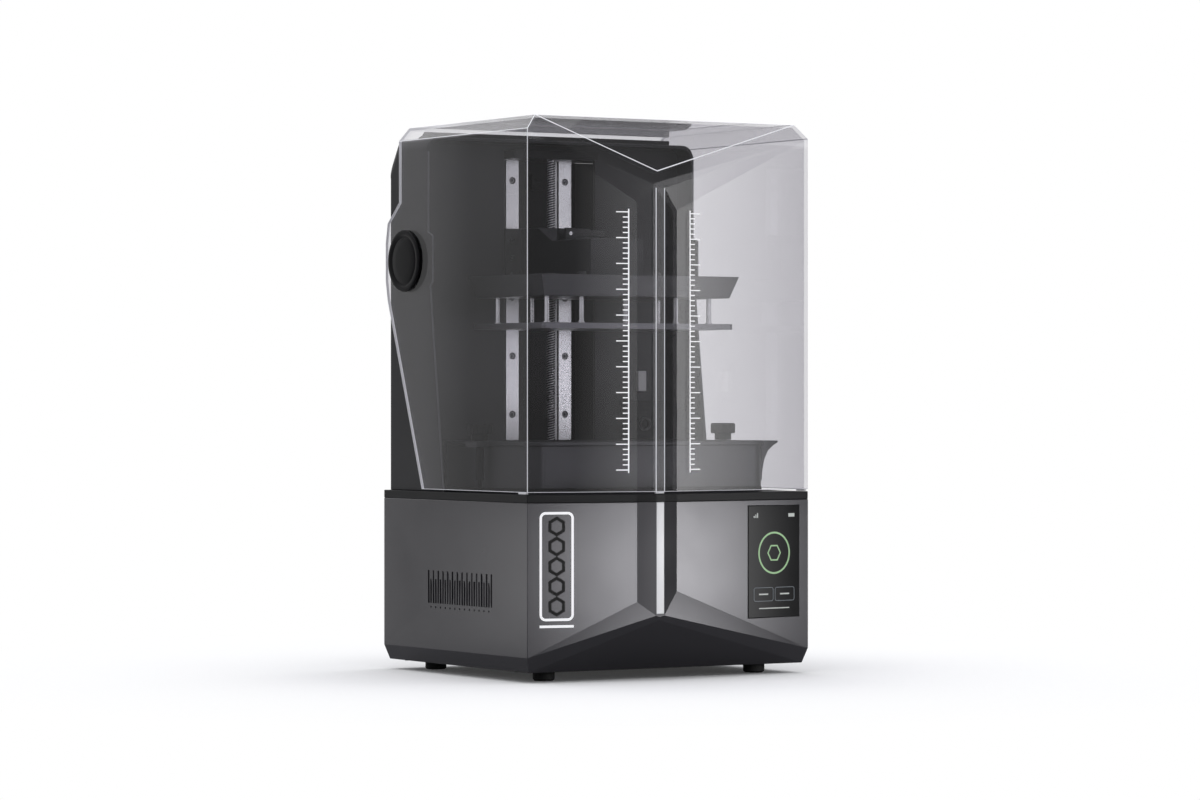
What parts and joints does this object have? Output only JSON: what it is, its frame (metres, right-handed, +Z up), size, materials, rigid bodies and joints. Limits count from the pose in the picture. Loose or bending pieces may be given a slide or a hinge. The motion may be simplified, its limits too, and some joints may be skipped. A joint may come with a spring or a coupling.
{
  "type": "resin printer",
  "caption": "Desktop resin printer with a faceted base, a tinted tip-back lid, a tilting vat over a display and a build platform on a twin-rail lift.",
  "frame": {"origin": "on the floor under the middle of the footprint, with the lid shut", "axes": "+X to the printer's right as seen from its front, +Y to its back, +Z up; the front faces -Y"},
  "size_m": [0.3334, 0.3144, 0.548],
  "materials": {
    "paint_grey": "satin grey paint",
    "black_metal": "matt black paint",
    "dark_plastic": "fine matt grain",
    "housing_plastic": "fine matt grain",
    "bright_strip": "satin",
    "screen_glass": "polished black glass",
    "rubber_black": "matt rubber",
    "clear_lid": "polished grey tint",
    "cap_plastic": "satin black",
    "soft_pad": "clear soft pad",
    "bare_aluminium": "machined",
    "dark_aluminium": "dark anodised",
    "steel": "ground",
    "brass": "turned",
    "board_green": "solder mask",
    "lens_clear": "moulded lens sheet",
    "film_clear": "clear film",
    "display_glass": "polished dark glass",
    "lamp_white": "diffuse white"
  },
  "bodies": {
    "base": {"base_shell": "paint_grey", "front_spine_strip": "bright_strip", "bottom_pan": "black_metal", "rubber_feet": "rubber_black", "touchscreen": "screen_glass", "deck_frame": "dark_plastic", "chassis_plate": "bare_aluminium", "uv_lens": "lens_clear", "light_shroud": "dark_plastic", "uv_led_board": "board_green", "uv_heatsink": "bare_aluminium", "uv_fan_frame": "dark_plastic", "rear_fan_frame": "dark_plastic", "mainboard": "board_green", "power_supply": "dark_plastic", "power_inlet": "dark_plastic", "power_switch_case": "dark_plastic", "usb_socket": "steel", "z_column": "dark_aluminium", "linear_rails": "steel", "top_bearing_bridge": "dark_aluminium", "screw_bearing": "steel", "z_motor": "black_metal", "limit_switch": "dark_plastic", "rear_housing": "housing_plastic", "rear_cover": "housing_plastic", "camera_module": "dark_plastic", "camera_lens": "display_glass", "chamber_lamp": "lamp_white", "hinge_brackets": "dark_aluminium", "hinge_shafts": "steel", "tilt_hinge_brackets": "dark_aluminium", "tilt_hinge_pins": "steel", "tilt_motor": "black_metal"},
    "lid": {"lid_shell": "clear_lid", "hinge_caps": "cap_plastic", "lid_bumpers": "soft_pad"},
    "carriage": {"arm_casting": "dark_aluminium", "carriage_blocks": "steel", "lead_nut": "brass", "platform_head": "dark_aluminium", "plate_springs": "steel", "lever_pin": "steel"},
    "plate": {"build_plate": "bare_aluminium", "guide_pins": "steel"},
    "screw": {"lead_screw": "steel", "motor_coupling": "bare_aluminium"},
    "lever": {"release_lever": "dark_aluminium"},
    "tilt_table": {"tilt_plate": "bare_aluminium", "lcd_bezel": "dark_plastic", "lcd_panel": "display_glass", "vat_body": "dark_aluminium", "vat_film_frame": "dark_plastic", "release_film": "film_clear"},
    "tilt_rod": {"tilt_push_rod": "steel"},
    "knob_left": {"vat_knob_left": "cap_plastic"},
    "knob_right": {"vat_knob_right": "cap_plastic"},
    "lamp_fan": {"uv_fan_rotor": "dark_plastic"},
    "exhaust_fan": {"rear_fan_rotor": "dark_plastic"},
    "rocker": {"power_switch_rocker": "cap_plastic"}
  },
  "joints": [
    {"name": "lid_hinge", "type": "hinge", "parent": "base", "child": "lid", "pos_m": [0, 0.111, 0.413], "axis": [-1, 0, 0], "range_deg": [0, 85]},
    {"name": "z_slide", "type": "slide", "parent": "base", "child": "carriage", "axis": [0, 0, 1], "range_m": [-0.16, 0.055]},
    {"name": "screw_turn", "type": "hinge", "parent": "base", "child": "screw", "pos_m": [0, 0.098, 0.35], "axis": [0, 0, 1], "range_deg": [-4000, 11600]},
    {"name": "plate_float", "type": "slide", "parent": "carriage", "child": "plate", "axis": [0, 0, 1], "range_m": [0, 0.002], "stiffness_N_per_m": 4000, "springref_m": -0.002, "deforming": ["plate_springs"]},
    {"name": "lever_swing", "type": "hinge", "parent": "carriage", "child": "lever", "pos_m": [-0.02, 0.035, 0.441], "axis": [0, -1, 0], "range_deg": [0, 100]},
    {"name": "tilt_hinge", "type": "hinge", "parent": "base", "child": "tilt_table", "pos_m": [0.15, -0.004, 0.166], "axis": [0, -1, 0], "range_deg": [0, 2.5]},
    {"name": "tilt_rod_slide", "type": "slide", "parent": "base", "child": "tilt_rod", "axis": [0, 0, 1], "range_m": [-0.0128, 0.0002]},
    {"name": "knob_left_turn", "type": "hinge", "parent": "tilt_table", "child": "knob_left", "pos_m": [-0.144, -0.004, 0.24], "axis": [0, 0, 1], "continuous": true},
    {"name": "knob_right_turn", "type": "hinge", "parent": "tilt_table", "child": "knob_right", "pos_m": [0.144, -0.004, 0.24], "axis": [0, 0, 1], "continuous": true},
    {"name": "lamp_fan_spin", "type": "hinge", "parent": "base", "child": "lamp_fan", "pos_m": [0, -0.004, 0.026], "axis": [0, 0, 1], "continuous": true},
    {"name": "exhaust_fan_spin", "type": "hinge", "parent": "base", "child": "exhaust_fan", "pos_m": [0.072, 0.142, 0.085], "axis": [0, 1, 0], "continuous": true},
    {"name": "power_switch_rock", "type": "hinge", "parent": "base", "child": "rocker", "pos_m": [-0.076, 0.1517, 0.044], "axis": [1, 0, 0], "range_deg": [0, 14]}
  ],
  "couplings": [
    {"joint": "screw_turn", "follows": "z_slide", "rad_per_m": -1256.6},
    {"joint": "tilt_rod_slide", "follows": "tilt_hinge", "m_per_rad": -0.29}
  ]
}
